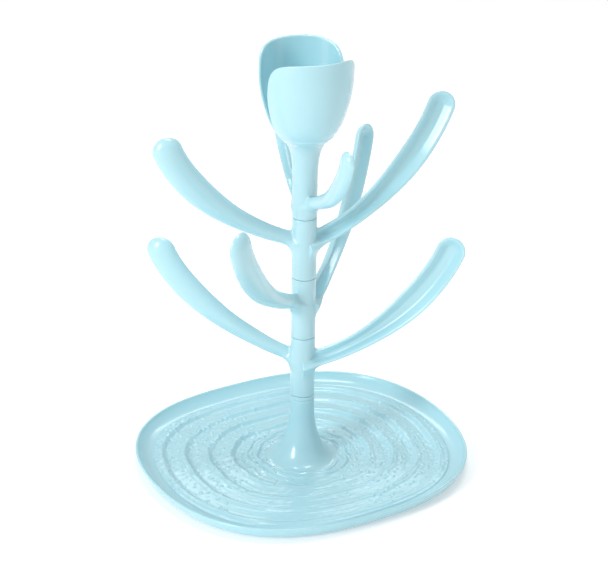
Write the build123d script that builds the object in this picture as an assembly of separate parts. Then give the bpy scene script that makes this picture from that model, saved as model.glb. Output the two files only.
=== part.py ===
"""Drying rack for feeding bottles: a drip tray, a tree of three swivelling tiers and a tulip crown.

Frame: the origin is on the trunk's axis, in the plane of the table. +Z is up, -Y is the front.
"""
from build123d import *
import math
import os

os.makedirs("parts", exist_ok=True)

# ---- fits --------------------------------------------------------------------------------------
FIT_RADIAL = 0.06        # running fit of a spigot in its socket, on the radius
FIT_FACE = 0.20          # axial gap between two stacked sections
FIT_BLIND = 1.0          # room above a spigot at the bottom of its socket
FOOT_SEAT = 0.10         # radial room round a foot in its pocket

# ---- trunk -------------------------------------------------------------------------------------
TRUNK_RADIUS = 10.15
SLEEVE_WALL = 2.10
SPIGOT_LENGTH = 14.0
SPIGOT_WALL = 2.0
SPIGOT_CHAMFER = 0.8
STEM_TOP = 59.3          # top of the tray's own stem
COLLAR_HEIGHT = 3.6
TIER_PITCH = 53.6        # from one tier to the next
TIER_COUNT = 3

# ---- tray --------------------------------------------------------------------------------------
TRAY_HALF_WIDTH = 140.0
TRAY_BASE_Z = 1.6        # underside of the tray, carried by the feet
FLOOR_THICKNESS = 2.6
RIM_Z = 12.5
RIM_WALL = 2.4
RIM_FLARE = 4.7          # how far the wall leans out between floor and rim
ROOT_RADIUS = 30.0       # trumpet where the stem grows out of the floor
ROOT_HEIGHT = 48.0
STEM_WALL = 2.2
ROOT_TIGHTNESS = 7.0     # how far out the trumpet's curve has come at the floor
RIPPLE_ROOT_GAP = 22.0   # from the trumpet's edge to the innermost ripple's inner foot
RIPPLE_WALL_GAP = 15.0   # from the outermost ripple's outer foot to the wall
RIPPLE_COUNT = 4
RIPPLE_WIDTH = 7.0
RIPPLE_HEIGHT = 1.6
RIPPLE_SINK = 0.5        # overlap of ripples and floor
BASIN_OVERRUN = 0.3      # the basin's cutter ends this far above the rim
# outline of the rim: mean distance from the trunk and its waves as shares of the half width
OUTLINE_MEAN = 0.977
OUTLINE_WAVES = [(2, 0.0437, 37.3), (3, 0.0017, 60.0), (4, 0.0285, -15.9)]
OUTLINE_POINTS = 24

# ---- feet --------------------------------------------------------------------------------------
FOOT_RADIUS = 8.0
FOOT_THICKNESS = 2.6
FOOT_EDGE_GAP = 6.0      # from a foot to the underside's edge where the tray is narrowest
FOOT_ANGLES = [52, 142, 232, 315]
FOOT_CHAMFER = 0.5

# ---- arms --------------------------------------------------------------------------------------
# centreline of an arm, as the control points of a Bezier curve: (distance from the trunk's axis,
# height above the sleeve's foot)
ARM_LINE = [(8, 35.5), (57, 49.5), (102.5, 93), (117.5, 130)]
ARM_UNEVEN = 3.5         # the first arm of a pair is this much longer, the second this much shorter
ARM_HALF_ROOT = 7.2      # half width of the blade beside the trunk
ARM_HALF_TIP = 12.0      # and at its widest, near the tip
ARM_DEPTH_ROOT = 8.0     # depth of the blade's section, from the rims to the back
ARM_DEPTH_TIP = 8.0
ARM_WALL = 2.2
ARM_WIDEN_FROM = 22.0    # stretch of the centreline over which the blade widens
ARM_WIDEN_TO = 112.0
ARM_OFFSET_ROOT = 7.5    # how far the rims stand off the radial plane
ARM_OFFSET = 9.5
ARM_TWIST_ROOT = 42.0    # degrees by which the channel looks up
ARM_TWIST = 14.0
ARM_SETTLE = 45.0        # length over which offset and twist settle
ARM_FLARE = 3.5          # extra half width at the very root
ARM_FLARE_LENGTH = 9.0
BLADE_SECTIONS = 14
TIP_ANGLES = (0, 22, 42, 60, 75, 84)
TIP_BLUNT = 0.4          # share of the section's depth that is left at the very tip
SHOULDER_WIDTH = 0.72    # the back's round section passes this share of the half width
SHOULDER_DEPTH = 0.70    # at this share of the depth
CHANNEL_PROUD = 1.0      # the channel's cutter stands this far out of the rims
TIER_AZIMUTHS = [2.1, 69.1, 27.3]

# ---- crown -------------------------------------------------------------------------------------
CROWN_AZIMUTH = -71.0    # middle of one petal; the other is opposite
TWIG_AZIMUTHS = [-71.0, 104.0]
TWIG_LINE = [(8, 15), (36, 25), (68, 43), (84, 79.5)]
TWIG_HALF_ROOT = 6.0
TWIG_HALF_TIP = 8.4
TWIG_DEPTH_ROOT = 6.0
TWIG_DEPTH_TIP = 6.0
TWIG_WALL = 1.9
TWIG_SIZE = 0.7          # offset, twist and flare of a twig against those of an arm
CUP_WALL = 2.2
CUP_FLOOR = 2.4
NECK_HEIGHT = 48.3       # from the crown's foot to where the neck begins to widen
CUP_HEIGHT = 94.0        # from there to the petals' tops
# outer profile of neck and cup as (share of the cup's height, how far the radius has grown)
CUP_PROFILE = [(0, 0), (0.079, 1.05), (0.143, 3.65), (0.211, 8.45), (0.289, 15.35), (0.385, 19.75),
               (0.481, 22.85), (0.585, 25.45), (0.730, 27.35), (1, 27.85)]
CUP_FLOOR_SHARE = 0.242  # height of the cup's inside floor, as a share of the cup's height
# upper edge of the petals as (distance sideways from the slot's middle, share of the cup's height)
PETAL_EDGE = [(0, 0.263), (4.6, 0.439), (9.4, 0.678), (12.2, 0.813), (17.5, 0.917), (26, 0.975), (40, 1)]
HEADROOM = 5.0           # cutters above the cup end this far over its top

# ---- what follows from the sizes ---------------------------------------------------------------
BORE_RADIUS = TRUNK_RADIUS - SLEEVE_WALL
SPIGOT_RADIUS = BORE_RADIUS - FIT_RADIAL
TIER_FEET = [STEM_TOP + COLLAR_HEIGHT + FIT_FACE + k * TIER_PITCH for k in range(TIER_COUNT)]
SLEEVE_HEIGHT = TIER_PITCH - FIT_FACE
CROWN_FOOT = TIER_FEET[-1] + TIER_PITCH
SOCKET_DEPTH = SPIGOT_LENGTH + FIT_BLIND
FLOOR_Z = TRAY_BASE_Z + FLOOR_THICKNESS
CORE_RADIUS = BORE_RADIUS - 1.0      # hollow above a socket
NECK_Z = CROWN_FOOT + NECK_HEIGHT
CUP_TOP = NECK_Z + CUP_HEIGHT
CUP_FLOOR_Z = NECK_Z + CUP_HEIGHT * CUP_FLOOR_SHARE
FLOOR_REACH = TRAY_HALF_WIDTH - RIM_FLARE - RIM_WALL
RIPPLE_FIRST = ROOT_RADIUS + RIPPLE_ROOT_GAP + RIPPLE_WIDTH / 2
RIPPLE_LAST = FLOOR_REACH - RIPPLE_WALL_GAP - RIPPLE_WIDTH / 2
RIPPLE_STEP = (RIPPLE_LAST - RIPPLE_FIRST) / (RIPPLE_COUNT - 1)


def save(shape, node):
    """Write one node's solids."""
    export_step(shape, f"parts/{node}.step")


def smooth(value, low, high):
    """Go smoothly from 0 at low to 1 at high."""
    t = min(max((value - low) / (high - low), 0.0), 1.0)
    return t * t * (3 - 2 * t)


def mix(a, b, t):
    """Go from a to b as t goes from 0 to 1."""
    return a + (b - a) * t


def revolved(points):
    """Turn a closed profile of (radius, height) points round the trunk's axis."""
    outline = make_face(Polyline([(r, 0, z) for r, z in points], close=True))
    return revolve(outline, Axis.Z)


# ---- tray --------------------------------------------------------------------------------------
def rim_share(angle):
    """Distance of the rim from the trunk in a direction, as a share of the half width."""
    waves = [amount * math.cos(times * math.radians(angle - phase)) for times, amount, phase in OUTLINE_WAVES]
    return OUTLINE_MEAN + sum(waves)


def tray_outline(scale, height):
    """Closed outline of the tray at a height, scaled about the trunk."""
    points = []
    for k in range(OUTLINE_POINTS):
        angle = 360 * k / OUTLINE_POINTS
        reach = TRAY_HALF_WIDTH * scale * rim_share(angle)
        points.append((reach * math.cos(math.radians(angle)), reach * math.sin(math.radians(angle)), height))
    return Spline(points, periodic=True)


def tray_disc(scale_low, low, scale_high, high):
    """Solid between two heights whose outline grows from one scale to the other."""
    return loft([make_face(tray_outline(scale_low, low)), make_face(tray_outline(scale_high, high))])


def make_tray():
    flare = RIM_FLARE / TRAY_HALF_WIDTH
    wall = RIM_WALL / TRAY_HALF_WIDTH
    shell = tray_disc(1 - flare, TRAY_BASE_Z, 1, RIM_Z)
    basin = tray_disc(1 - flare - wall, FLOOR_Z, 1 - wall, RIM_Z + BASIN_OVERRUN)
    tray = shell - basin
    for k in range(RIPPLE_COUNT):
        middle = RIPPLE_FIRST + k * RIPPLE_STEP
        inner = (middle - RIPPLE_WIDTH / 2) / TRAY_HALF_WIDTH
        outer = (middle + RIPPLE_WIDTH / 2) / TRAY_HALF_WIDTH
        slope = RIPPLE_WIDTH / 3 / TRAY_HALF_WIDTH
        ridge = tray_disc(outer, FLOOR_Z - RIPPLE_SINK, outer - slope, FLOOR_Z + RIPPLE_HEIGHT)
        ridge -= tray_disc(inner, FLOOR_Z - RIPPLE_SINK, inner + slope, FLOOR_Z + RIPPLE_HEIGHT)
        tray += ridge
    return tray + stem_outside() - stem_inside() - foot_pockets()


def trumpet(offset, low):
    """Face between the axis and the stem's outline, moved in by offset, down to a height."""
    radius = TRUNK_RADIUS - offset
    root = ROOT_RADIUS - offset
    top = FLOOR_Z + ROOT_HEIGHT
    foot = FLOOR_Z - offset / 2
    flank = Bezier((root, 0, foot), (radius + ROOT_TIGHTNESS, 0, FLOOR_Z + 2.0),
                   (radius, 0, FLOOR_Z + ROOT_HEIGHT / 2), (radius, 0, top))
    edges = Polyline((radius, 0, top), (0, 0, top), (0, 0, low), (root, 0, low), (root, 0, foot))
    return make_face([flank, edges])


def stem_outside():
    """Trumpet root, stem and closed spigot."""
    root = revolve(trumpet(0, TRAY_BASE_Z), Axis.Z)
    top = STEM_TOP + COLLAR_HEIGHT + FIT_FACE + SPIGOT_LENGTH
    low = FLOOR_Z + ROOT_HEIGHT - 1
    stem = revolved([(0, low), (TRUNK_RADIUS, low), (TRUNK_RADIUS, STEM_TOP), (SPIGOT_RADIUS, STEM_TOP),
                     (SPIGOT_RADIUS, top - SPIGOT_CHAMFER), (SPIGOT_RADIUS - SPIGOT_CHAMFER, top), (0, top)])
    return root + stem


def stem_inside():
    """Hollow of the stem, open below."""
    root = revolve(trumpet(STEM_WALL, TRAY_BASE_Z - 1), Axis.Z)
    bore = TRUNK_RADIUS - STEM_WALL - SPIGOT_WALL
    top = STEM_TOP + COLLAR_HEIGHT + FIT_FACE + SPIGOT_LENGTH - SPIGOT_WALL
    wide = TRUNK_RADIUS - STEM_WALL
    low = FLOOR_Z + ROOT_HEIGHT - 1
    core = revolved([(0, low), (wide, low), (wide, STEM_TOP - 5), (bore, STEM_TOP - 2), (bore, top),
                     (0, top)])
    return root + core


def foot_places():
    """Centres of the feet, all equally far from the trunk."""
    narrowest = min(rim_share(angle) for angle in range(360))
    reach = (TRAY_HALF_WIDTH - RIM_FLARE) * narrowest - FOOT_EDGE_GAP - FOOT_RADIUS
    return [(reach * math.cos(math.radians(a)), reach * math.sin(math.radians(a))) for a in FOOT_ANGLES]


def foot_pockets():
    """Shallow pockets that locate the feet."""
    depth = FOOT_THICKNESS - TRAY_BASE_Z
    pockets = Part()
    for x, y in foot_places():
        pocket = Cylinder(FOOT_RADIUS + FOOT_SEAT, depth + 1, align=(Align.CENTER, Align.CENTER, Align.MAX))
        pockets += Pos(x, y, TRAY_BASE_Z + depth) * pocket
    return pockets


def make_foot(x, y):
    pad = Cylinder(FOOT_RADIUS, FOOT_THICKNESS, align=(Align.CENTER, Align.CENTER, Align.MIN))
    pad = chamfer(pad.edges().group_by(Axis.Z)[0], FOOT_CHAMFER)
    return Pos(x, y, 0) * pad


def make_collar():
    low = STEM_TOP + FIT_FACE / 2
    high = STEM_TOP + COLLAR_HEIGHT
    return revolved([(BORE_RADIUS, low), (TRUNK_RADIUS, low), (TRUNK_RADIUS, high), (BORE_RADIUS, high)])


# ---- arms --------------------------------------------------------------------------------------
class Blade:
    """One arm: a leaf-shaped blade, rounded on its back, with a channel that faces clockwise."""

    def __init__(self, line, half_root, half_tip, depth_root, depth_tip, wall, size):
        self.path = Bezier(*[(r, 0, z) for r, z in line])
        self.line_length = self.path.length
        self.half_root = half_root
        self.half_tip = half_tip
        self.depth_root = depth_root
        self.depth_tip = depth_tip
        self.wall = wall
        self.size = size          # length scale of offset, twist and flare
        self.length = self.line_length + half_tip

    def section(self, s, inset):
        """Closed face across the blade at a length s; inset moves it inside the wall."""
        run = min(s, self.line_length) / self.line_length
        place = self.path @ run
        along = (self.path % run).normalized()
        place = place + along * max(s - self.line_length, 0.0)
        up = Vector(-along.Z, 0, along.X)
        side = Vector(0, -1, 0)
        settle = smooth(s, 0, ARM_SETTLE * self.size)
        twist = math.radians(mix(ARM_TWIST_ROOT, ARM_TWIST, settle))
        offset = mix(ARM_OFFSET_ROOT, ARM_OFFSET, settle) * self.size
        wide = up * math.cos(twist) - side * math.sin(twist)
        out = side * math.cos(twist) + up * math.sin(twist)
        widen = smooth(s, ARM_WIDEN_FROM * self.size, ARM_WIDEN_TO * self.size)
        half = mix(self.half_root, self.half_tip, widen)
        half += ARM_FLARE * self.size * math.exp(-((s / (ARM_FLARE_LENGTH * self.size)) ** 2))
        depth = mix(self.depth_root, self.depth_tip, widen)
        beyond = max(s - self.line_length, 0.0) / (self.half_tip - inset)
        close = math.sqrt(max(1 - beyond * beyond, 0.0))
        half = (half - inset) * close
        depth = (depth - inset) * mix(TIP_BLUNT, 1, close)
        rim = place + side * offset
        left = rim - wide * half
        right = rim + wide * half
        back = rim - out * depth
        across = wide * half * SHOULDER_WIDTH
        down = out * depth * SHOULDER_DEPTH
        curve = Spline(left, rim - across - down, back, rim + across - down, right)
        if inset == 0:
            return make_face([curve, Line(right, left)])
        proud = out * CHANNEL_PROUD
        return make_face([curve, Polyline(right, right + proud, left + proud, left)])

    def stations(self, inset):
        """Lengths at which the blade's sections stand, closer together round the tip."""
        even = [self.line_length * k / BLADE_SECTIONS for k in range(BLADE_SECTIONS)]
        tip = [self.line_length + (self.half_tip - inset) * math.sin(math.radians(a)) for a in TIP_ANGLES]
        return even + tip

    def solid(self):
        """Blade with its channel cut out."""
        outside = loft([self.section(s, 0) for s in self.stations(0)], ruled=True)
        channel = loft([self.section(s, self.wall) for s in self.stations(self.wall)[1:]], ruled=True)
        return outside - channel


def stretched(line, extra):
    """Control points with the last one moved on along the curve's end."""
    (r0, z0), (r1, z1) = line[-2:]
    share = extra / math.hypot(r1 - r0, z1 - z0)
    return line[:-1] + [(r1 + (r1 - r0) * share, z1 + (z1 - z0) * share)]


def with_blades(sleeve, hollow, arms, azimuths, height):
    """Join two arms to a sleeve and open its bore again."""
    body = sleeve
    for arm, azimuth in zip(arms, azimuths):
        body += Pos(0, 0, height) * Rot(0, 0, azimuth) * arm
    return body - hollow


def sleeve_outside(foot, height, spigot):
    """Round sleeve with a closed spigot on top."""
    top = foot + height
    if not spigot:
        return revolved([(0, foot), (TRUNK_RADIUS, foot), (TRUNK_RADIUS, top), (0, top)])
    tip = top + FIT_FACE + SPIGOT_LENGTH
    return revolved([(0, foot), (TRUNK_RADIUS, foot), (TRUNK_RADIUS, top), (SPIGOT_RADIUS, top),
                     (SPIGOT_RADIUS, tip - SPIGOT_CHAMFER), (SPIGOT_RADIUS - SPIGOT_CHAMFER, tip), (0, tip)])


def sleeve_inside(foot, height):
    """Socket below, then the hollow of the sleeve and of its spigot."""
    socket = foot + SOCKET_DEPTH
    shoulder = foot + height
    tip = shoulder + FIT_FACE + SPIGOT_LENGTH - SPIGOT_WALL
    neck = SPIGOT_RADIUS - SPIGOT_WALL
    return revolved([(0, foot - 1), (BORE_RADIUS, foot - 1), (BORE_RADIUS, socket), (CORE_RADIUS, socket),
                     (CORE_RADIUS, shoulder - 5), (neck, shoulder - 2), (neck, tip), (0, tip)])


def make_tier(index):
    foot = TIER_FEET[index]
    arms = []
    for extra in (ARM_UNEVEN, -ARM_UNEVEN):
        line = stretched(ARM_LINE, extra)
        blade = Blade(line, ARM_HALF_ROOT, ARM_HALF_TIP, ARM_DEPTH_ROOT, ARM_DEPTH_TIP, ARM_WALL, 1.0)
        arms.append(blade.solid())
    sleeve = sleeve_outside(foot, SLEEVE_HEIGHT, True)
    azimuth = TIER_AZIMUTHS[index]
    hollow = sleeve_inside(foot, SLEEVE_HEIGHT)
    return with_blades(sleeve, hollow, arms, (azimuth, azimuth + 180), foot)


# ---- crown -------------------------------------------------------------------------------------
def cup_profile(inset):
    """Outline points of neck and cup as (radius, height), moved in by the wall."""
    return [(TRUNK_RADIUS + growth - inset, NECK_Z + CUP_HEIGHT * share) for share, growth in CUP_PROFILE]


def make_cup():
    """Neck and cup, hollow above the cup's floor."""
    outer = cup_profile(0)
    flank = Spline([(r, 0, z) for r, z in outer], tangents=[(0, 0, 1), (0, 0, 1)])
    edges = Polyline((outer[-1][0], 0, CUP_TOP), (0, 0, CUP_TOP), (0, 0, NECK_Z), (outer[0][0], 0, NECK_Z))
    body = revolve(make_face([flank, edges]), Axis.Z)
    inner = [(r, z) for r, z in cup_profile(CUP_WALL) if z > CUP_FLOOR_Z]
    first, last = inner[0], inner[-1]
    flank = Spline([(r, 0, z) for r, z in inner])
    edges = Polyline((last[0], 0, last[1]), (last[0], 0, CUP_TOP + HEADROOM), (0, 0, CUP_TOP + HEADROOM),
                     (0, 0, CUP_FLOOR_Z), (first[0] - CUP_WALL * 2, 0, CUP_FLOOR_Z), (first[0], 0, first[1]))
    basin = revolve(make_face([flank, edges]), Axis.Z)
    return body - basin - petal_gaps()


def petal_gaps():
    """Everything above the petals' upper edges: two opposite V-shaped slots and the arched tops."""
    points = [(x, 0, NECK_Z + CUP_HEIGHT * share) for x, share in PETAL_EDGE]
    half = Spline(points)
    high = CUP_TOP + HEADROOM
    closing = Polyline(points[-1], (points[-1][0], 0, high), (0, 0, high), points[0])
    gap = extrude(make_face([half, closing]), TRAY_HALF_WIDTH / 2, both=True)
    gap += mirror(gap, Plane.YZ)
    return Rot(0, 0, CROWN_AZIMUTH) * gap


def make_crown():
    foot = CROWN_FOOT
    blade = Blade(TWIG_LINE, TWIG_HALF_ROOT, TWIG_HALF_TIP, TWIG_DEPTH_ROOT, TWIG_DEPTH_TIP, TWIG_WALL,
                  TWIG_SIZE)
    sleeve = sleeve_outside(foot, NECK_HEIGHT, False)
    socket = foot + SOCKET_DEPTH
    ceiling = CUP_FLOOR_Z - CUP_FLOOR
    hollow = revolved([(0, foot - 1), (BORE_RADIUS, foot - 1), (BORE_RADIUS, socket), (CORE_RADIUS, socket),
                       (CORE_RADIUS, ceiling - 6), (CORE_RADIUS - 3, ceiling), (0, ceiling)])
    twig = mirror(blade.solid(), Plane.XZ)     # a twig's channel faces the other way
    return with_blades(sleeve + make_cup(), hollow, [twig, twig], TWIG_AZIMUTHS, foot)


# ---- the rack ----------------------------------------------------------------------------------
save(make_tray(), "drip_tray")
for number, (x, y) in enumerate(foot_places(), start=1):
    save(make_foot(x, y), f"foot_{number}")
save(make_collar(), "base_collar")
for index in range(TIER_COUNT):
    save(make_tier(index), f"tier_{index + 1}")
save(make_crown(), "crown")
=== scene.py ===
"""Studio scene of a tree-shaped drying rack for feeding bottles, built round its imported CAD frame.

The rack is a set of polished polypropylene mouldings: a rippled drip tray with its own stem, a thin
collar, three swivelling tiers with two channelled arms each, and a crown with a tulip cup. Each moulding
is meshed here at full smoothness and rides on the CAD body that carries it. Lengths are millimetres until
a mesh is written, and metres from then on.
"""
from __future__ import annotations

import logging
import math
from dataclasses import dataclass, replace
from enum import Enum

import bpy
import numpy as np
import openvdb
from mathutils import Matrix, Vector

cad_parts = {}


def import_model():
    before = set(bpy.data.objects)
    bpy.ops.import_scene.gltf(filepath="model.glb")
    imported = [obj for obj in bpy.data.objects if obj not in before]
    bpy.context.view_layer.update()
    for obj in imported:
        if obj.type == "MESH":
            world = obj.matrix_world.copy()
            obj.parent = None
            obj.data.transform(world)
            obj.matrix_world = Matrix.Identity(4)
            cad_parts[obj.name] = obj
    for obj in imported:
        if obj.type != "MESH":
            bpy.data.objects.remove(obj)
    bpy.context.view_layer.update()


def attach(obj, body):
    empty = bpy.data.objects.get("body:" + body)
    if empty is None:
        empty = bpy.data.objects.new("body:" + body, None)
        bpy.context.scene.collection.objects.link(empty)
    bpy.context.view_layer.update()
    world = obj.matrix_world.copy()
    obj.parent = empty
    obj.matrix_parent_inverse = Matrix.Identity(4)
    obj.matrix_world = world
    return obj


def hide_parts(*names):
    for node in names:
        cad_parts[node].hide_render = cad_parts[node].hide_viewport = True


MM = 0.001
FULL_TURN = 2 * math.pi
AXIS = 0.01  # radius of the ring that ends a skin at its axis
Points = list[tuple[float, float]]

log = logging.getLogger("rack")


# ---- shape helpers -----------------------------------------------------------------------------
def smooth_step(value: np.ndarray, low: float, high: float) -> np.ndarray:
    """Go smoothly from 0 at low to 1 at high.

    Args:
        value: Numbers to place between low and high.
        low: Where the step starts.
        high: Where the step ends.

    Returns:
        The step's height at each value.
    """
    t = np.clip((value - low) / (high - low), 0.0, 1.0)
    return t * t * (3 - 2 * t)


def soft_min(a: np.ndarray, b: np.ndarray, radius: np.ndarray) -> np.ndarray:
    """Join two distance fields with a fillet.

    Args:
        a: Distance to the first solid.
        b: Distance to the second solid.
        radius: Size of the fillet, one number or a field of them.

    Returns:
        Distance to the joined solid.
    """
    h = np.clip(0.5 + 0.5 * (b - a) / radius, 0.0, 1.0)
    return b + (a - b) * h - radius * h * (1 - h)


def soft_max(a: np.ndarray, b: np.ndarray, radius: np.ndarray) -> np.ndarray:
    """Intersect two distance fields with a rounded edge, as soft_min joins them."""
    return -soft_min(-a, -b, radius)


def ring_profile(points: Points, across: np.ndarray, height: np.ndarray) -> np.ndarray:
    """Distance to a solid of revolution given as stacked radii.

    Args:
        points: Outline of the solid as (height, radius), from bottom to top.
        across: Distance of each place from the axis.
        height: Height of each place.

    Returns:
        Signed distance to the flank, negative inside. The ends aren't closed.
    """
    curve = smooth_curve(points, 400)
    radius = np.interp(height, curve[:, 0], curve[:, 1])
    slope = np.interp(height, curve[:, 0], np.gradient(curve[:, 1], curve[:, 0]))
    return (across - radius) / np.sqrt(1 + slope * slope)


def smooth_curve(points: Points, count: int) -> np.ndarray:
    """Sample a natural cubic spline through points.

    Args:
        points: Places that the curve passes, in order.
        count: Number of samples.

    Returns:
        The samples, one row each.
    """
    knots = np.asarray(points, float)
    steps = np.linalg.norm(np.diff(knots, axis=0), axis=1)
    at = np.concatenate([[0.0], np.cumsum(steps)])
    size = len(knots)
    system = np.eye(size)
    target = np.zeros_like(knots)
    for i in range(1, size - 1):
        system[i, i - 1] = steps[i - 1]
        system[i, i] = 2 * (steps[i - 1] + steps[i])
        system[i, i + 1] = steps[i]
        target[i] = 6 * ((knots[i + 1] - knots[i]) / steps[i] - (knots[i] - knots[i - 1]) / steps[i - 1])
    bend = np.linalg.solve(system, target)
    along = np.linspace(0, at[-1], count)
    i = np.clip(np.searchsorted(at, along, side="right") - 1, 0, size - 2)
    h = steps[i][:, None]
    a = (at[i + 1] - along)[:, None]
    b = (along - at[i])[:, None]
    cubic = (bend[i] * a**3 + bend[i + 1] * b**3) / (6 * h)
    return cubic + (knots[i] / h - bend[i] * h / 6) * a + (knots[i + 1] / h - bend[i + 1] * h / 6) * b


def new_mesh(name: str, points: np.ndarray, faces: np.ndarray) -> bpy.types.Object:
    """Make a smooth-shaded object from arrays, with its faces turned outwards.

    Args:
        name: Name of the object.
        points: Corners in millimetres, one row each.
        faces: Corner numbers of the quads, one row each.

    Returns:
        The object, linked to the scene.
    """
    a, b, c = (points[faces[:, i]] for i in range(3))
    d = points[faces[:, 3]]
    volume = np.einsum("ij,ij->i", a, np.cross(b, c)).sum() + np.einsum("ij,ij->i", a, np.cross(c, d)).sum()
    if volume < 0:
        faces = faces[:, ::-1]
    mesh = bpy.data.meshes.new(name)
    mesh.vertices.add(len(points))
    mesh.vertices.foreach_set("co", (points * MM).astype(np.float32).ravel())
    mesh.loops.add(faces.size)
    mesh.loops.foreach_set("vertex_index", faces.astype(np.int32).ravel())
    mesh.polygons.add(len(faces))
    mesh.polygons.foreach_set("loop_start", np.arange(0, faces.size, 4, dtype=np.int32))
    mesh.update(calc_edges=True)
    mesh.validate()
    mesh.shade_smooth()
    piece = bpy.data.objects.new(name, mesh)
    bpy.context.scene.collection.objects.link(piece)
    return piece


def grid_skin(name: str, rings: np.ndarray, closed: bool) -> bpy.types.Object:
    """Skin a grid of points whose rows are rings round an axis.

    Args:
        name: Name of the object.
        rings: The points in millimetres, by row, column and coordinate.
        closed: Whether the last row joins the first, as on a hollow ring.

    Returns:
        The object, linked to the scene.
    """
    rows, columns = rings.shape[:2]
    i, j = np.meshgrid(np.arange(rows if closed else rows - 1), np.arange(columns), indexing="ij")
    k, below = (j + 1) % columns, (i + 1) % rows
    quads = np.stack([i * columns + j, below * columns + j, below * columns + k, i * columns + k], axis=-1)
    return new_mesh(name, rings.reshape(-1, 3), quads.reshape(-1, 4))


def lathe(name: str, outline: Points, closed: bool, columns: int = 128) -> bpy.types.Object:
    """Turn an outline round the upright axis.

    Args:
        name: Name of the object.
        outline: Places as (radius, height).
        closed: Whether the outline is a loop.
        columns: Number of steps round the axis.

    Returns:
        The object, linked to the scene.
    """
    angle = np.linspace(0, FULL_TURN, columns, endpoint=False)[None, :]
    reach, height = (np.array(column)[:, None] for column in zip(*outline))
    rings = np.stack([reach * np.cos(angle), reach * np.sin(angle), height + 0 * angle], axis=-1)
    return grid_skin(name, rings, closed)


def round_corner(x: float, z: float, radius: float, start: float) -> Points:
    """Points of a quarter circle that rounds a corner of an outline.

    Args:
        x: Radius of the circle's centre from the axis.
        z: Height of the circle's centre.
        radius: Its own radius.
        start: Direction of the first point, in degrees.

    Returns:
        The points as (radius, height), turning anticlockwise.
    """
    turns = np.radians(np.linspace(start, start + 90, 7))
    return [(x + radius * math.cos(t), z + radius * math.sin(t)) for t in turns]


@dataclass(frozen=True)
class Lattice:
    """Evenly spaced places at which a distance field is worked out."""

    low: tuple[float, float, float]
    pitch: float

    def surface(self, name: str, distance: np.ndarray) -> bpy.types.Object:
        """Mesh the surface where the distance is zero.

        Args:
            name: Name of the new object.
            distance: The field, negative inside the solid.

        Returns:
            The meshed object, in place.
        """
        grid = openvdb.FloatGrid(float(distance.max()))
        grid.copyFromArray(np.ascontiguousarray(distance, dtype=np.float32))
        grid.transform = openvdb.createLinearTransform(self.pitch)
        points, quads = grid.convertToQuads(0.0)
        return new_mesh(name, np.asarray(points, float) + np.asarray(self.low), np.asarray(quads))


# ---- shader helpers ----------------------------------------------------------------------------
class Shade:
    """A shader socket that can be used in Python arithmetic."""

    def __init__(self, material: Finish, socket: bpy.types.NodeSocket) -> None:
        """Wrap an output socket of a material."""
        self.material = material
        self.socket = socket

    def _math(self, operation: str, a: object, b: object) -> Shade:
        """Add a Math node.

        Args:
            operation: The node's operation.
            a: First value or shade.
            b: Second value or shade.

        Returns:
            The node's result.
        """
        return self.material.node("ShaderNodeMath", {"operation": operation}, {0: a, 1: b})

    def __add__(self, other: object) -> Shade:
        """Add."""
        return self._math("ADD", self, other)

    def __radd__(self, other: object) -> Shade:
        """Add to a number."""
        return self._math("ADD", other, self)

    def __sub__(self, other: object) -> Shade:
        """Subtract."""
        return self._math("SUBTRACT", self, other)

    def __rsub__(self, other: object) -> Shade:
        """Subtract from a number."""
        return self._math("SUBTRACT", other, self)

    def __mul__(self, other: object) -> Shade:
        """Multiply."""
        return self._math("MULTIPLY", self, other)

    def __rmul__(self, other: object) -> Shade:
        """Multiply a number."""
        return self._math("MULTIPLY", other, self)


class Finish:
    """Base of a procedural finish: a material and the ways to add nodes to it."""

    def __init__(self, name: str) -> None:
        """Start a material with a Principled shader."""
        self.made = bpy.data.materials.new(name)
        self.made.use_nodes = True
        self.shader = self.made.node_tree.nodes["Principled BSDF"]

    def node(self, kind: str, settings: dict[str, object], inputs: dict[object, object],
             output: object = 0) -> Shade:
        """Add a node of any kind.

        Args:
            kind: The node's type.
            settings: Properties that are set first.
            inputs: Values or shades by socket.
            output: Which output to return.

        Returns:
            The chosen output.
        """
        made = self.made.node_tree.nodes.new(kind)
        for key, value in settings.items():
            setattr(made, key, value)
        for key, value in inputs.items():
            self.feed(made.inputs[key], value)
        return Shade(self, made.outputs[output])

    def feed(self, socket: bpy.types.NodeSocket, value: object) -> None:
        """Set a socket to a value, or link a shade to it.

        Args:
            socket: The socket to feed.
            value: What it gets.
        """
        if isinstance(value, Shade):
            self.made.node_tree.links.new(value.socket, socket)
        else:
            socket.default_value = value

    def tune(self, **values: object) -> None:
        """Set the shader's own sockets, with an underscore for each space in a name."""
        for key, value in values.items():
            self.feed(self.shader.inputs[key.replace("_", " ")], value)

    def place(self) -> Shade:
        """Place on the piece, in metres."""
        return self.node("ShaderNodeTexCoord", {}, {}, "Object")

    def mix(self, amount: object, first: object, second: object) -> Shade:
        """Blend two colours by an amount."""
        return self.node("ShaderNodeMix", {"data_type": "RGBA"}, {0: amount, 6: first, 7: second}, 2)

    def dress(self, piece: bpy.types.Object) -> None:
        """Give a piece this finish all over."""
        piece.data.materials.clear()
        piece.data.materials.append(self.made)


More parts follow.
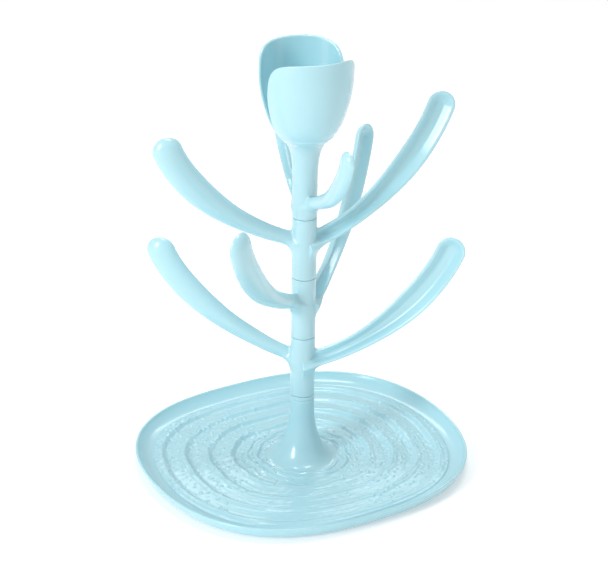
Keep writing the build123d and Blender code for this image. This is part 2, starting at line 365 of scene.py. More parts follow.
class GlossyPlastic(Finish):
    """Polished polypropylene in pale sky blue, with the faint unevenness of a moulding."""

    LIGHT = (0.455, 0.73, 0.81, 1.0)
    DEEP = (0.41, 0.70, 0.78, 1.0)

    def __init__(self, name: str = "sky_blue_plastic", veil: float = 0.65, depth: float = 1.0) -> None:
        """Build the material.

        Args:
            name: Name of the material.
            veil: Strength of the soft sheen over the colour.
            depth: Share of the colour's red and green that is left, 1 for the plain colour. Below 1 it is
                painted shade: a darker copy of the same plastic, standing in for the shade on the tray's
                floor.
        """
        super().__init__(name)
        spot = self.place()
        flow = self.node("ShaderNodeTexNoise", {},
                         {"Vector": spot, "Scale": 28.0, "Detail": 3.0, "Roughness": 0.5})
        grain = self.node("ShaderNodeTexNoise", {}, {"Vector": spot, "Scale": 620.0, "Detail": 2.0})
        # Painted shade: a depth below 1 darkens and deepens both tones of the plastic.
        deep, light = ((r * depth**1.6, g * depth**0.6, b * depth**0.3, a)
                       for r, g, b, a in (self.DEEP, self.LIGHT))
        colour = self.mix(flow, deep, light)
        uneven = flow * 0.8 + grain * 0.2
        skin = self.node("ShaderNodeBump", {}, {"Strength": 0.05, "Distance": 0.0004, "Height": uneven})
        self.tune(Base_Color=colour, Roughness=0.11 + flow * 0.08, Normal=skin, IOR=1.5, Coat_Weight=veil,
                  Coat_Roughness=0.38, Coat_IOR=1.75, Subsurface_Weight=0.15, Subsurface_Scale=0.01)
        self.feed(self.shader.inputs["Subsurface Radius"], (0.4, 0.9, 1.0))


class SoftRubber(Finish):
    """Matt elastomer of the feet."""

    COLOUR = (0.55, 0.66, 0.70, 1.0)
    DUSTY = (0.66, 0.75, 0.78, 1.0)

    def __init__(self, name: str = "foot_rubber") -> None:
        """Build the material."""
        super().__init__(name)
        spot = self.place()
        grain = self.node("ShaderNodeTexNoise", {}, {"Vector": spot, "Scale": 900.0, "Detail": 4.0})
        skin = self.node("ShaderNodeBump", {}, {"Strength": 0.25, "Distance": 0.0002, "Height": grain})
        tint = self.mix(grain, self.COLOUR, self.DUSTY)
        self.tune(Base_Color=tint, Roughness=0.55 + grain * 0.25, Normal=skin)


# ---- sub-assemblies ----------------------------------------------------------------------------
@dataclass(frozen=True)
class Trunk:
    """Sizes that every section of the trunk shares."""

    radius: float = 10.15
    bore: float = 8.15
    spigot: float = 7.85
    spigot_length: float = 14.2
    wall: float = 2.1
    edge: float = 0.25


TRUNK = Trunk()


def rod(across: np.ndarray, height: np.ndarray, radius: float, low: float, high: float,
        edge: float) -> np.ndarray:
    """Distance to an upright round rod.

    Args:
        across: Distance of each place from the axis.
        height: Height of each place.
        radius: Radius of the rod.
        low: Its foot.
        high: Its top.
        edge: Rounding of its two rims.

    Returns:
        Signed distance, negative inside.
    """
    ends = np.abs(height - (low + high) / 2) - (high - low) / 2
    return soft_max(across - radius, ends, edge)


@dataclass(frozen=True)
class Arm:
    """A leaf-shaped arm: round on its back, with a channel that faces clockwise.

    The centreline is a Bezier curve in the plane of the trunk's axis, given by four control points
    (distance from the axis, height above the section's foot). A hand of -1 makes the channel face
    the other way, and extra is added to the length.
    """

    control: tuple[tuple[float, float], ...]
    half_root: float
    half_tip: float
    depth_root: float
    depth_tip: float
    wall: float
    offset_root: float
    offset: float
    twist_root: float
    twist: float
    settle: float
    widen_from: float
    widen_to: float
    fillet_above: float
    fillet_below: float
    floor_share: float = 0.36
    lip: float = 0.55
    hand: float = 1.0
    extra: float = 0.0

    def line(self) -> tuple[np.ndarray, np.ndarray, float]:
        """Sample the centreline, with straight ends beyond root and tip.

        Returns:
            The samples, the lengths at which they stand and the length of the curve itself.
        """
        p0, p1, p2, p3 = (np.asarray(p, float) for p in self.control)
        p3 = p3 + (p3 - p2) / np.linalg.norm(p3 - p2) * self.extra
        t = np.linspace(0, 1, 300)[:, None]
        curve = (1 - t) ** 3 * p0 + 3 * (1 - t) ** 2 * t * p1 + 3 * (1 - t) * t**2 * p2 + t**3 * p3
        first = (curve[0] - curve[1]) / np.linalg.norm(curve[0] - curve[1])
        last = (curve[-1] - curve[-2]) / np.linalg.norm(curve[-1] - curve[-2])
        before = curve[0] + first * np.linspace(12, 0.5, 24)[:, None]
        after = curve[-1] + last * np.linspace(0.5, self.half_tip + 6, 40)[:, None]
        whole = np.vstack([before, curve, after])
        at = np.concatenate([[0.0], np.cumsum(np.linalg.norm(np.diff(whole, axis=0), axis=1))])
        start = at[len(before)]
        length = at[len(before) + len(curve) - 1] - start
        return whole, at - start, length

    def unroll(self, x: np.ndarray, z: np.ndarray) -> tuple[np.ndarray, np.ndarray]:
        """Place points of the arm's plane along its centreline and above it.

        Args:
            x: Distances from the trunk's axis.
            z: Heights above the section's foot.

        Returns:
            Length along the centreline and height above it, read from a table.
        """
        line, at, _ = self.line()
        tangent = np.gradient(line, axis=0)
        tangent /= np.linalg.norm(tangent, axis=1)[:, None]
        step = 0.5
        table_x = np.arange(-26.0, float(x.max()) + 2, step)
        table_z = np.arange(float(z.min()) - 1, float(z.max()) + 2, step)
        length = np.zeros((len(table_x), len(table_z)))
        above = np.zeros_like(length)
        for row, value in enumerate(table_x):
            gap = (value - line[:, 0]) ** 2 + (table_z[:, None] - line[:, 1]) ** 2
            nearest = gap.argmin(axis=1)
            dx, dz = value - line[nearest, 0], table_z - line[nearest, 1]
            length[row] = at[nearest] + dx * tangent[nearest, 0] + dz * tangent[nearest, 1]
            above[row] = dz * tangent[nearest, 0] - dx * tangent[nearest, 1]
        place_x, place_z = (x - table_x[0]) / step, (z - table_z[0]) / step
        i = np.clip(place_x.astype(int), 0, len(table_x) - 2)
        j = np.clip(place_z.astype(int), 0, len(table_z) - 2)
        a, b = place_x - i, place_z - j

        def read(table: np.ndarray) -> np.ndarray:
            """Blend the four table entries round each place.

            Args:
                table: The table to read from.

            Returns:
                The blended values.
            """
            near = table[i, j] * (1 - a) + table[i + 1, j] * a
            far = table[i, j + 1] * (1 - a) + table[i + 1, j + 1] * a
            return near * (1 - b) + far * b

        return read(length), read(above)

    def distance(self, x: np.ndarray, y: np.ndarray, z: np.ndarray) -> tuple[np.ndarray, np.ndarray]:
        """Distance to the arm that points along +X.

        Args:
            x: Distances along the arm, shaped for broadcasting.
            y: Places across it.
            z: Heights above the section's foot.

        Returns:
            The distance field and the fillet that joins it to the trunk.
        """
        length = self.line()[2]
        s, up = self.unroll(x, z)
        settled = smooth_step(s, 0, self.settle)
        twist = np.radians(self.twist_root + (self.twist - self.twist_root) * settled)
        shift = self.offset_root + (self.offset - self.offset_root) * settled
        wide = smooth_step(s, self.widen_from, self.widen_to)
        half = self.half_root + (self.half_tip - self.half_root) * wide
        depth = self.depth_root + (self.depth_tip - self.depth_root) * wide
        side = -y * self.hand - shift
        u = up * np.cos(twist) - side * np.sin(twist)
        v = up * np.sin(twist) + side * np.cos(twist)
        beyond = np.maximum(s - length, 0.0)
        round_back = self.ellipsoid(u, v, beyond, half, depth)
        body = soft_max(round_back, v, self.lip)
        reach = np.sqrt(u * u + beyond * beyond)
        floor = depth - self.wall
        inner = half - self.wall
        corner = inner * self.floor_share
        lean = np.sqrt((inner - corner) ** 2 + floor**2)
        flank = ((reach - inner) * floor - v * (inner - corner)) / lean
        channel = soft_max(flank, -(v + floor), 1.2)
        blade = soft_max(body, -channel, self.lip)
        fillet = self.fillet_above + (self.fillet_below - self.fillet_above) * smooth_step(-up, -1.0, 5.0)
        return blade, fillet

    @staticmethod
    def ellipsoid(u: np.ndarray, v: np.ndarray, w: np.ndarray, half: np.ndarray,
                  depth: np.ndarray) -> np.ndarray:
        """Distance to the round back, closed by a dome over the tip.

        Args:
            u: Place along the blade's width.
            v: Place along its depth.
            w: Distance beyond the end of the centreline.
            half: Half width.
            depth: Depth.

        Returns:
            Signed distance, close to true near the surface.
        """
        level = np.sqrt((u / half) ** 2 + (v / depth) ** 2 + (w / half) ** 2) + 1e-6
        slope = np.sqrt((u / half**2) ** 2 + (v / depth**2) ** 2 + (w / half**2) ** 2) / level + 1e-6
        return (level - 1) / slope


@dataclass
class Tier:
    """A sleeve of the trunk with two opposite arms, all one moulding."""

    node: str
    body: str
    azimuth: float
    foot: float
    height: float = 53.4
    pitch: float = 0.62
    uneven: float = 3.5
    arm: Arm = Arm(control=((8, 35.5), (57, 49.5), (102.5, 93), (117.5, 130)), half_root=7.2, half_tip=12.0,
                   depth_root=8.0, depth_tip=8.0, wall=2.2, offset_root=7.5, offset=9.5, twist_root=42.0,
                   twist=14.0, settle=45.0, widen_from=22.0, widen_to=112.0, fillet_above=3.0,
                   fillet_below=11.0)

    def build(self, master: bpy.types.Object | None) -> bpy.types.Object:
        """Mesh the tier, or copy one that is already meshed.

        Args:
            master: A tier of the same shape at azimuth 0 and foot 0, or None.

        Returns:
            The tier at azimuth 0 and foot 0.
        """
        if master is not None:
            piece = master.copy()
            piece.data = master.data.copy()
            bpy.context.scene.collection.objects.link(piece)
            return piece
        top = self.height + TRUNK.spigot_length
        count, aside = int(133 / self.pitch), int(21 / self.pitch)
        x = np.arange(0, count + 1)[:, None, None] * self.pitch
        y = np.arange(-aside, aside + 1)[None, :, None] * self.pitch
        z = np.arange(-2.0, 151.0, self.pitch)[None, None, :]
        across = np.sqrt(x**2 + y**2)
        sleeve = rod(across, z, TRUNK.radius, 0.0, self.height, TRUNK.edge)
        spigot = rod(across, z, TRUNK.spigot, self.height - 4, top, 0.8)
        hollow = self.hollow(across, z)
        halves = []
        for extra in (self.uneven, -self.uneven):
            arm, fillet = replace(self.arm, extra=extra).distance(x, y, z)
            half = np.minimum(soft_min(arm, sleeve, fillet), spigot)
            halves.append(np.maximum(half, -hollow).astype(np.float32))
        whole = np.concatenate([halves[1][1:][::-1, ::-1, :], halves[0]], axis=0)
        low = (-count * self.pitch, float(y[0, 0, 0]), float(z[0, 0, 0]))
        return Lattice(low, self.pitch).surface(self.node, whole)

    def hollow(self, across: np.ndarray, height: np.ndarray) -> np.ndarray:
        """Distance to the socket and the hollow above it.

        Args:
            across: Distance of each place from the axis.
            height: Height of each place above the tier's foot.

        Returns:
            Signed distance, negative within the hollow.
        """
        socket = rod(across, height, TRUNK.bore, -3.0, TRUNK.spigot_length + 1.0, 0.3)
        core = rod(across, height, TRUNK.bore - 1.0, 0.0, self.height - 3.0, 1.5)
        top = self.height + TRUNK.spigot_length - 2.0
        neck = rod(across, height, TRUNK.spigot - TRUNK.wall, 0.0, top, 1.0)
        return np.minimum(np.minimum(socket, core), neck)

    def dress(self, piece: bpy.types.Object, finish: Finish) -> None:
        """Turn the tier to its place, finish it and let it ride.

        Args:
            piece: The tier's mesh at azimuth 0 and foot 0.
            finish: Its material.
        """
        piece.name = self.node + "_moulding"
        turn = Matrix.Rotation(math.radians(self.azimuth), 4, "Z")
        piece.data.transform(Matrix.Translation((0, 0, self.foot * MM)) @ turn)
        settle_piece(piece, self.body, finish, "blue_plastic", self.node)


def settle_piece(piece: bpy.types.Object, body: str, finish: Finish, slot: str, *nodes: str) -> None:
    """Finish a piece and tie it to the frame.

    Args:
        piece: The piece, in place.
        body: The CAD body that it rides on.
        finish: Its material.
        slot: Name of a material slot. It is not used.
        nodes: The CAD nodes that it stands for.
    """
    finish.dress(piece)
    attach(piece, body)
    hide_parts(*nodes)
    log.info("%s rides on %s with %d faces", piece.name, body, len(piece.data.polygons))


@dataclass
class Crown:
    """Top of the tree: a stem with two small arms, opening into a cup of two petals."""

    foot: float
    azimuth: float = -71.0
    pitch: float = 0.62
    neck: float = 48.3
    cup_height: float = 94.0
    cup_wall: float = 2.2
    floor_share: float = 0.242
    profile: tuple[tuple[float, float], ...] = (
        (-0.2, 0), (-0.1, 0.2), (0, 0.8), (0.079, 2.0), (0.143, 4.1), (0.211, 8.35), (0.289, 15.1),
        (0.385, 19.75), (0.481, 22.85), (0.585, 25.45), (0.730, 27.35), (0.9, 27.85), (1.1, 27.85))
    petal_edge: tuple[tuple[float, float], ...] = (
        (0, 0.263), (4.6, 0.439), (9.4, 0.678), (12.2, 0.813), (17.5, 0.917), (26, 0.975), (40, 1))
    twig_azimuths: tuple[float, float] = (-71.0, 104.0)
    twig: Arm = Arm(control=((8, 15), (36, 25), (68, 43), (84, 79.5)), half_root=6.0, half_tip=8.4,
                    depth_root=6.0, depth_tip=6.0, wall=1.9, offset_root=3.9, offset=6.9, twist_root=42.0,
                    twist=13.0, settle=31.5, widen_from=15.0, widen_to=78.0, fillet_above=2.5,
                    fillet_below=7.0, hand=-1.0)

    def build(self) -> bpy.types.Object:
        """Mesh the crown.

        Returns:
            The crown at azimuth 0 and foot 0.
        """
        count, aside = int(103 / self.pitch), int(42 / self.pitch)
        x = np.arange(0, count + 1)[:, None, None] * self.pitch
        y = np.arange(-aside, aside + 1)[None, :, None] * self.pitch
        z = np.arange(-2.0, 149.0, self.pitch)[None, None, :]
        across = np.sqrt(x**2 + y**2)
        outline = [(self.neck + self.cup_height * share, TRUNK.radius + growth)
                   for share, growth in self.profile]
        outer = ring_profile(outline, across, z)
        floor = self.neck + self.cup_height * self.floor_share
        shell = soft_max(outer, -(outer + self.cup_wall), 0.2)
        bowl_floor = soft_max(outer, np.abs(z - floor + 1.2) - 1.2, 0.4)
        cup = soft_max(soft_min(shell, bowl_floor, 3.0), self.neck - 17.5 - z, 0.2)
        cup = soft_max(cup, -self.gaps(x, y, z), 0.9)
        trunk = np.minimum(rod(across, z, TRUNK.radius, 0.0, self.neck + 4, TRUNK.edge), cup)
        hollow = np.minimum(rod(across, z, TRUNK.bore, -3.0, TRUNK.spigot_length + 1.0, 0.3),
                            rod(across, z, TRUNK.bore - 1.0, 0.0, floor - 8, 2.0))
        halves = []
        for azimuth, ahead in zip(self.twig_azimuths, (self.azimuth, self.azimuth + 180)):
            turn = math.radians(azimuth - ahead)
            along, beside = x * math.cos(turn) + y * math.sin(turn), y * math.cos(turn) - x * math.sin(turn)
            twig, fillet = self.twig.distance(along, beside, z)
            halves.append(np.maximum(soft_min(twig, trunk, fillet), -hollow).astype(np.float32))
        whole = np.concatenate([halves[1][1:][::-1, ::-1, :], halves[0]], axis=0)
        low = (-count * self.pitch, float(y[0, 0, 0]), float(z[0, 0, 0]))
        return Lattice(low, self.pitch).surface("crown_moulding", whole)

    def gaps(self, x: np.ndarray, y: np.ndarray, z: np.ndarray) -> np.ndarray:
        """Distance to all that lies above the petals' upper edges.

        Args:
            x: Places along the line through both petals.
            y: Places across it.
            z: Heights above the crown's foot.

        Returns:
            Signed distance, negative above the edges.
        """
        across = np.abs(x) + 0 * y
        edge = smooth_curve([(x, self.neck + self.cup_height * share) for x, share in self.petal_edge], 300)
        height = np.interp(across, edge[:, 0], edge[:, 1])
        slope = np.interp(across, edge[:, 0], np.gradient(edge[:, 1], edge[:, 0]))
        return (height - z) / np.sqrt(1 + slope * slope)

    def dress(self, piece: bpy.types.Object, finish: Finish) -> None:
        """Turn the crown to its place, finish it and let it ride.

        Args:
            piece: The crown's mesh at azimuth 0 and foot 0.
            finish: Its material.
        """
        turn = Matrix.Rotation(math.radians(self.azimuth), 4, "Z")
        piece.data.transform(Matrix.Translation((0, 0, self.foot * MM)) @ turn)
        settle_piece(piece, "crown_top", finish, "blue_plastic", "crown")


class Skin(Enum):
    """Kinds of ring in the tray's skin."""

    TURNED = "round, as on a lathe"
    FLOOR = "follows the outline and carries the relief"
    PLAIN = "follows the outline and is smooth"


@dataclass
class DripTray:
    """Pebble-shaped tray with a trumpet-rooted stem, wave-like ripples and fields of water beads."""

    half_width: float = 140.0
    underside: float = 1.6
    floor: float = 4.2
    rim: float = 12.5
    rim_wall: float = 2.4
    flare: float = 4.7
    root: float = 30.0
    root_height: float = 48.0
    stem_top: float = 59.3
    stem_wall: float = 2.2
    spigot_top: float = 76.9
    cove: float = 8.0
    underside_round: float = 3.0
    foot_edge_gap: float = 6.0
    wave_first: float = 54.0
    wave_step: float = 19.5
    wave_count: int = 4
    wave_height: float = 3.0
    bead_step: float = 5.2
    columns: int = 1296
    lobes: tuple[tuple[int, float, float], ...] = (
        (2, 0.0437, 37.3), (3, 0.0017, 60.0), (4, 0.0285, -15.9))
    mean_share: float = 0.977

    def share(self, angle: np.ndarray) -> np.ndarray:
        """Distance of the rim from the trunk as a share of the half width.

        Args:
            angle: Directions from the trunk.

        Returns:
            The share in each direction.
        """
        total = np.full_like(angle, self.mean_share)
        for times, amount, phase in self.lobes:
            total += amount * np.cos(times * (angle - math.radians(phase)))
        return total

    def waves(self, reach: np.ndarray, angle: np.ndarray) -> np.ndarray:
        """Height of the ripples: each rises steeply, has a double crest and falls gently outwards.

        Args:
            reach: Distance from the axis along the outline's own scale.
            angle: Direction.

        Returns:
            Height above the floor.
        """
        wobble = 0.9 * np.sin(3 * angle + 0.7) + 0.5 * np.sin(8 * angle + reach * 0.05)
        wobble = wobble + 0.25 * np.sin(17 * angle - reach * 0.2)
        place = (reach + wobble - self.wave_first) / self.wave_step
        phase = place - np.floor(place)
        rise = smooth_step(phase, 0.0, 0.27) * (1 - 0.5 * smooth_step(phase, 0.27, 0.5))
        rise = rise * (1 - smooth_step(phase, 0.48, 1.0))
        dent = 0.16 * np.exp(-(((phase - 0.31) / 0.03) ** 2))
        last = self.wave_count
        inside = smooth_step(place, -0.04, 0.0) * (1 - smooth_step(place, last - 0.2, last))
        strength = 0.82 + 0.18 * np.sin(5 * angle + np.floor(place) * 2.1)
        return self.wave_height * (rise - dent * rise) * inside * strength

    def root_rings(self, reach: np.ndarray, angle: np.ndarray) -> np.ndarray:
        """Height of the wavy rings round the foot of the stem.

        Args:
            reach: Distance from the axis along the outline's own scale.
            angle: Direction.

        Returns:
            Height above the floor, which dips below it between the rings.
        """
        drift = 1.6 * np.sin(2 * angle + 0.4) + 0.9 * np.sin(5 * angle + 1.1) + 0.5 * np.sin(9 * angle)
        near = smooth_step(reach, self.root - 1.0, self.root + 4.0) * (1 - smooth_step(reach, 44.0, 51.0))
        rings = 0.55 * np.cos((reach - 31.0 + drift) * 0.85) + 0.30 * np.cos((reach + drift * 2) * 1.5)
        return near * rings

    def swell(self, reach: np.ndarray, angle: np.ndarray) -> np.ndarray:
        """Fine unevenness all over the floor, like the skin of moving water.

        Args:
            reach: Distance from the axis along the outline's own scale.
            angle: Direction.

        Returns:
            Height above the floor, positive or negative.
        """
        x, y = reach * np.cos(angle), reach * np.sin(angle)
        fine = np.sin(x * 0.61 + 1.3 * np.sin(y * 0.23)) * np.sin(y * 0.57 + 1.1 * np.sin(x * 0.31))
        threads = np.sin(reach * 1.9 + 1.5 * np.sin(7 * angle) + 2.0 * np.sin(3 * angle))
        return 0.09 * fine + 0.05 * threads

    def beads(self, reach: np.ndarray, angle: np.ndarray) -> np.ndarray:
        """Height of the moulded water beads, which lie to the left and right of the trunk.

        Args:
            reach: Distance of each row from the axis.
            angle: Direction of each column.

        Returns:
            Height above the floor and its ripples.
        """
        rng = np.random.default_rng(7)
        height = np.zeros(np.broadcast_shapes(reach.shape, angle.shape))
        rows = reach[:, 0]
        turn = angle[0]
        for ring in np.arange(32.0, 129.0, self.bead_step):
            count = int(FULL_TURN * ring / self.bead_step)
            for k in range(count):
                a = FULL_TURN * (k + rng.uniform(-0.38, 0.38)) / count
                r = ring + self.bead_step * rng.uniform(-0.4, 0.4)
                size = rng.uniform(1.0, 1.9)
                present = 0.5 + 0.62 * math.cos(2 * (a - 0.05)) - 0.25 * smooth_step(r, 95, 130)
                if rng.uniform() > present:
                    continue
                near = np.abs(rows - r) < size
                off = (turn - a + math.pi) % FULL_TURN - math.pi
                beside = np.abs(off) * r < size
                if not near.any() or not beside.any():
                    continue
                block = np.ix_(near, beside)
                d2 = (rows[near][:, None] - r) ** 2 + (off[beside][None, :] * r) ** 2
                dome = 0.5 * size * np.clip(1 - d2 / size**2, 0, 1) ** 0.7
                height[block] = np.maximum(height[block], dome)
        return height

    def stations(self) -> list[tuple[float, float, Skin]]:
        """List the rings of the tray's skin in order.

        Returns:
            Each ring as (distance from the axis, height, kind).
        """
        edge = self.half_width - self.flare - self.rim_wall - self.cove
        places = [(x, z, Skin.TURNED) for x, z in self.stem_outside()]
        places += [(x, self.floor, Skin.FLOOR) for x in np.arange(self.root + 0.5, edge, 0.55)]
        places += [(x, z, Skin.PLAIN) for x, z in self.rim_outline()]
        places += [(x, z, Skin.TURNED) for x, z in self.stem_inside()]
        return places

    def stem_outside(self) -> Points:
        """Outline the spigot, the stem and its root.

        Returns:
            Places as (distance from the axis, height), from the spigot's top to the floor.
        """
        r, s, top, step = TRUNK.radius, TRUNK.spigot, self.spigot_top, self.stem_top
        outline = [(AXIS, top), (s - 3, top), (s - 0.8, top), (s - 0.25, top - 0.25), (s, top - 0.8)]
        outline += [(s, z) for z in np.linspace(top - 2, step + 0.3, 14)]
        outline += [(s + 0.1, step), (r - 0.5, step), (r - 0.15, step - 0.15), (r, step - 0.5)]
        outline += [(r, z) for z in np.linspace(step - 2, self.floor + self.root_height + 1, 6)]
        return outline + self.trumpet(0.0)

    def rim_outline(self) -> Points:
        """Outline the rim and the underside.

        Returns:
            Places as (distance from the axis, height), from the floor over the rim and back underneath.
        """
        base, top, half = self.half_width - self.flare, self.half_width - self.rim_wall, self.rim_wall / 2
        inner, low, curl = base - self.rim_wall, self.underside, self.underside_round
        foot, knee = np.array((inner - self.cove, self.floor)), np.array((inner + 0.6, self.floor + 0.1))
        head = np.array((top, self.rim - half))
        outline = []
        for t in np.linspace(0, 1, 22):
            x, z = (1 - t) ** 2 * foot + 2 * (1 - t) * t * knee + t * t * head
            outline.append((float(x), float(z)))
        outline += [(top + half - half * math.cos(t), self.rim - half + half * math.sin(t))
                    for t in np.linspace(0.25, math.pi, 12)]
        outline += [(base + self.flare * t, low + curl + (self.rim - half - low - curl) * t)
                    for t in np.linspace(0.93, 0, 14)]
        outline += [(base - curl + curl * math.cos(t), low + curl - curl * math.sin(t))
                    for t in np.linspace(0.15, math.pi / 2, 9)]
        return outline + [(x, low) for x in np.linspace(base - 6, self.root + 1, 30)]

    def stem_inside(self) -> Points:
        """Outline the hollow of the stem.

        Returns:
            Places as (distance from the axis, height), from the underside up to the spigot's end.
        """
        r, s, low = TRUNK.radius, TRUNK.spigot, self.underside
        outline = [(self.root - 1.4, low), (self.root - 2.1, low + 0.6)]
        outline += self.trumpet(self.stem_wall)[::-1]
        outline += [(r - self.stem_wall, self.stem_top - 6), (s - 2, self.stem_top - 3)]
        end = self.spigot_top - 2
        return outline + [(s - 2, end - 1), (s - 3, end), (AXIS, end)]

    def trumpet(self, inset: float) -> Points:
        """Outline the stem's root.

        Args:
            inset: How far the outline is moved into the plastic.

        Returns:
            Places as (distance from the axis, height), from the top of the root to the floor.
        """
        r = TRUNK.radius - inset
        p0 = np.array((r, self.floor + self.root_height))
        p1 = np.array((r, self.floor + self.root_height * 0.5))
        p2 = np.array((r + 7.0, self.floor + 2.0))
        p3 = np.array((self.root - inset, self.floor - inset * 0.5))
        t = np.linspace(0, 1, 48)[:, None]
        curve = (1 - t) ** 3 * p0 + 3 * (1 - t) ** 2 * t * p1 + 3 * (1 - t) * t**2 * p2 + t**3 * p3
        return [(float(a), float(b)) for a, b in curve]

    def build(self) -> bpy.types.Object:
        """Mesh the tray as one closed skin.

        Returns:
            The tray, in place.
        """
        places = self.stations()
        reach = np.array([p[0] for p in places])[:, None]
        height = np.array([p[1] for p in places])[:, None]
        is_floor = np.array([p[2] is Skin.FLOOR for p in places])[:, None]
        turned = np.array([p[2] is Skin.TURNED for p in places])[:, None]
        angle = np.linspace(0, FULL_TURN, self.columns, endpoint=False)[None, :]
        blend = np.where(turned, 0.0, smooth_step(reach, self.root, 52.0))
        radius = reach * (1 + blend * (self.share(angle) - 1))
        relief = self.waves(reach, angle) + self.root_rings(reach, angle) + self.swell(reach, angle)
        relief = relief * (1 - smooth_step(reach, 124.0, 131.0)) + self.beads(reach, angle)
        z = height + np.where(is_floor, relief, 0.0)
        points = np.stack([radius * np.cos(angle), radius * np.sin(angle), z + 0 * angle], axis=-1)
        return grid_skin("drip_tray_moulding", points, False)

    def dress(self, piece: bpy.types.Object, finish: Finish) -> None:
        """Finish the tray and let it ride."""
        settle_piece(piece, "tray", finish, "blue_plastic", "drip_tray")


@dataclass(frozen=True)
class Collar:
    """Thin loose ring between the tray's stem and the lowest tier."""

    low: float = 59.4
    high: float = 62.9
    edge: float = 0.3

    def build(self) -> bpy.types.Object:
        """Turn the ring with its four rounded edges.

        Returns:
            The ring, in place.
        """
        e, out, bore = self.edge, TRUNK.radius - self.edge, TRUNK.bore + self.edge
        outline = round_corner(bore, self.low + e, e, 180) + round_corner(out, self.low + e, e, 270)
        outline += round_corner(out, self.high - e, e, 0) + round_corner(bore, self.high - e, e, 90)
        return lathe("base_collar_ring", outline, True)

    def dress(self, piece: bpy.types.Object, finish: Finish) -> None:
        """Finish the ring and let it ride."""
        settle_piece(piece, "collar", finish, "blue_plastic", "base_collar")


@dataclass(frozen=True)
class Foot:
    """Round soft pad, pressed into a pocket under the tray."""

    number: int
    angle: float
    reach: float
    radius: float = 8.0
    thickness: float = 2.6
    edge: float = 0.5

    def build(self) -> bpy.types.Object:
        """Turn the pad with a rounded lower edge.

        Returns:
            The pad, in place.
        """
        inside, top = self.radius - self.edge, self.thickness
        outline = [(AXIS, 0.0), (inside / 2, 0.0)] + round_corner(inside, self.edge, self.edge, 270)
        outline += [(self.radius, top - 0.2), (self.radius - 0.2, top), (AXIS, top)]
        pad = lathe(f"foot_pad_{self.number}", outline, False, 72)
        turn = math.radians(self.angle)
        place = Vector((self.reach * math.cos(turn), self.reach * math.sin(turn), 0.0))
        pad.data.transform(Matrix.Translation(place * MM))
        return pad

    def dress(self, piece: bpy.types.Object, finish: Finish) -> None:
        """Finish the pad and let it ride."""
        settle_piece(piece, "tray", finish, "foot_rubber", f"foot_{self.number}")


def make_feet(tray: DripTray) -> list[Foot]:
    """Place the four feet, all equally far from the trunk, within the tray's narrowest stretch.

    Args:
        tray: The tray that they stand under.

    Returns:
        The feet.
    """
    narrowest = float(tray.share(np.radians(np.arange(360))).min())
    reach = (tray.half_width - tray.flare) * narrowest - tray.foot_edge_gap - Foot.radius
    return [Foot(number, angle, reach) for number, angle in enumerate((52, 142, 232, 315), start=1)]


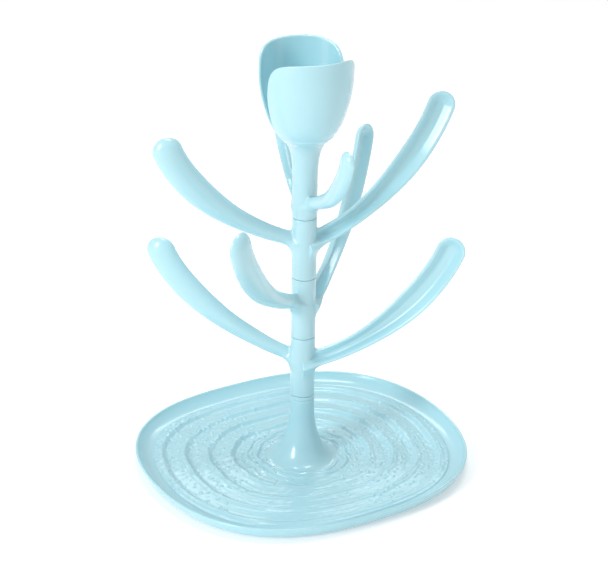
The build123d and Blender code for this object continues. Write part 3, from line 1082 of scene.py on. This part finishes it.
# ---- studio ------------------------------------------------------------------------------------
@dataclass
class Studio:
    """Floor, lights and camera."""

    distance: float = 1.800
    height: float = 1.00931
    pitch: float = 25.17
    roll: float = 0.95
    yaw: float = 0.391
    shift: float = -0.0272
    lens: float = 143.7
    sideways: float = 0.0015

    def build(self) -> None:
        """Make the floor, the lights and the camera."""
        self.floor()
        self.lights()
        self.camera()

    def floor(self) -> None:
        """A plain pale floor, wide enough to fill every view."""
        mesh = bpy.data.meshes.new("studio_floor")
        mesh.from_pydata([(-6, -6, 0), (6, -6, 0), (6, 6, 0), (-6, 6, 0)], [], [(0, 1, 2, 3)])
        floor = bpy.data.objects.new("studio_floor", mesh)
        bpy.context.scene.collection.objects.link(floor)
        paper = Finish("white_paper")
        paper.tune(Base_Color=(0.82, 0.82, 0.82, 1), Roughness=0.9, Specular_IOR_Level=0.1,
                   Emission_Color=(1.0, 1.0, 1.0, 1), Emission_Strength=0.28)
        paper.dress(floor)

    def lamp(self, name: str, place: tuple[float, float, float], size: tuple[float, float],
             power: float) -> None:
        """Hang a soft box that looks at the rack.

        Args:
            name: Name of the lamp.
            place: Where it hangs, in metres.
            size: Its width and height, in metres.
            power: Its power in watts.
        """
        data = bpy.data.lights.new(name, "AREA")
        data.shape = "RECTANGLE"
        data.size, data.size_y = size
        data.energy = power
        lamp = bpy.data.objects.new(name, data)
        lamp.location = place
        lamp.rotation_euler = (Vector((0, 0, 0.18)) - Vector(place)).to_track_quat("-Z", "Y").to_euler()
        bpy.context.scene.collection.objects.link(lamp)

    def lights(self) -> None:
        """Soft boxes and a white surround."""
        bpy.context.scene.view_settings.view_transform = "Standard"
        world = bpy.data.worlds.new("studio")
        world.use_nodes = True
        tree = world.node_tree
        tree.nodes["Background"].inputs["Color"].default_value = (1, 1, 1, 1)
        look = tree.nodes.new("ShaderNodeTexCoord")
        parts = tree.nodes.new("ShaderNodeSeparateXYZ")
        ramp = tree.nodes.new("ShaderNodeMapRange")
        for name, value in (("From Min", 0.05), ("From Max", 0.9), ("To Min", 0.68), ("To Max", 0.46)):
            ramp.inputs[name].default_value = value
        tree.links.new(look.outputs["Generated"], parts.inputs[0])
        tree.links.new(parts.outputs["Z"], ramp.inputs["Value"])
        tree.links.new(ramp.outputs["Result"], tree.nodes["Background"].inputs["Strength"])
        bpy.context.scene.world = world
        self.lamp("key_left", (-1.3, -1.3, 1.0), (0.45, 1.0), 20)
        self.lamp("overhead", (0.1, 0.15, 1.7), (0.9, 0.35), 9)
        self.lamp("back_strip", (0.0, 1.5, 1.25), (1.5, 0.2), 4.5)

    def camera(self) -> None:
        """The camera, a little above the rack and looking down at it."""
        data = bpy.data.cameras.new("camera")
        data.lens = self.lens
        data.sensor_width = 36.0
        data.clip_start, data.clip_end = 0.05, 30
        camera = bpy.data.objects.new("camera", data)
        camera.location = (self.sideways, -self.distance, self.height)
        tilt = Matrix.Rotation(math.radians(90 - self.pitch), 4, "X")
        lean = Matrix.Rotation(math.radians(self.roll), 4, "Z")
        turn = Matrix.Rotation(math.radians(-self.yaw), 4, "Z")
        data.shift_x = self.shift
        camera.matrix_world = Matrix.Translation(camera.location) @ turn @ tilt @ lean
        bpy.context.scene.collection.objects.link(camera)
        bpy.context.scene.camera = camera


def main() -> None:
    """Build the rack and its studio."""
    logging.basicConfig(level=logging.INFO, format="%(message)s")
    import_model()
    plastic = GlossyPlastic()
    Studio().build()
    tray = DripTray()
    # The tray is the same plastic as the rest, in a darker copy (depth 0.97): painted shade for its floor.
    tray.dress(tray.build(), GlossyPlastic("sky_blue_tray_painted_shade", 0.45, 0.97))
    tiers = [Tier("tier_1", "lower_tier", 2.1, 63.1), Tier("tier_2", "middle_tier", 69.1, 116.7),
             Tier("tier_3", "upper_tier", 27.3, 170.3)]
    master = tiers[0].build(None)
    copies = [master] + [tier.build(master) for tier in tiers[1:]]
    for tier, piece in zip(tiers, copies):
        tier.dress(piece, plastic)
    crown = Crown(foot=223.9)
    crown.dress(crown.build(), plastic)
    collar = Collar()
    collar.dress(collar.build(), plastic)
    rubber = SoftRubber()
    for foot in make_feet(tray):
        foot.dress(foot.build(), rubber)


if __name__ == "__main__":
    main()
